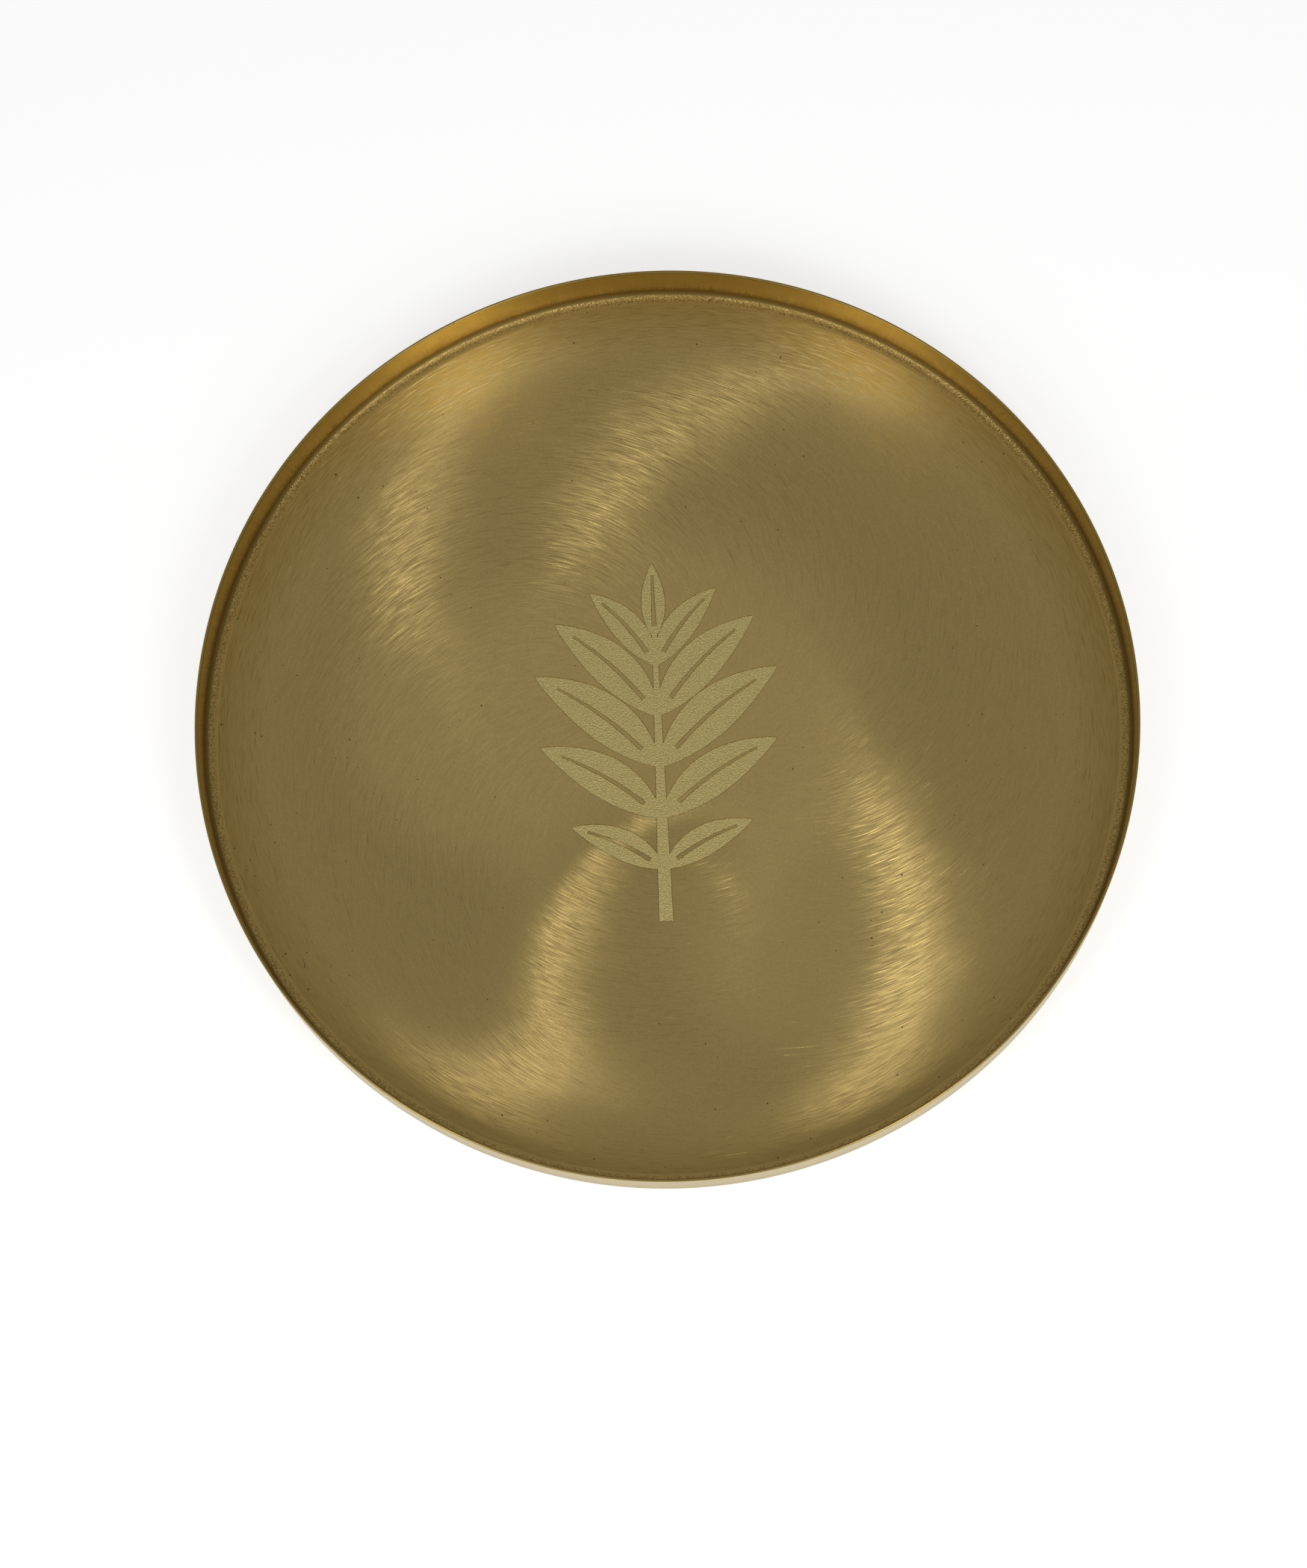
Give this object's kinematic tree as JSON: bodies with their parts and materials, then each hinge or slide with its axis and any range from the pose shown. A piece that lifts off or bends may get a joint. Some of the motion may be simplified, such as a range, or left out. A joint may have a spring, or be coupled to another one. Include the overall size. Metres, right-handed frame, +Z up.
{
  "type": "tray",
  "caption": "Shallow round brass tray: flat swirl-brushed floor with an etched leaf sprig, tight corner, low upright wall and plain lip.",
  "frame": {"origin": "centre of the underside, on the surface that the tray stands on", "axes": "+Z up out of the tray; +Y towards the tip of the etched sprig"},
  "size_m": [0.15, 0.15, 0.009],
  "materials": {
    "brushed_brass": "swirl-brushed floor, satin wall and underside, matte etched sprig"
  },
  "bodies": {
    "root": {"pressed_tray": "brushed_brass"}
  },
  "joints": []
}
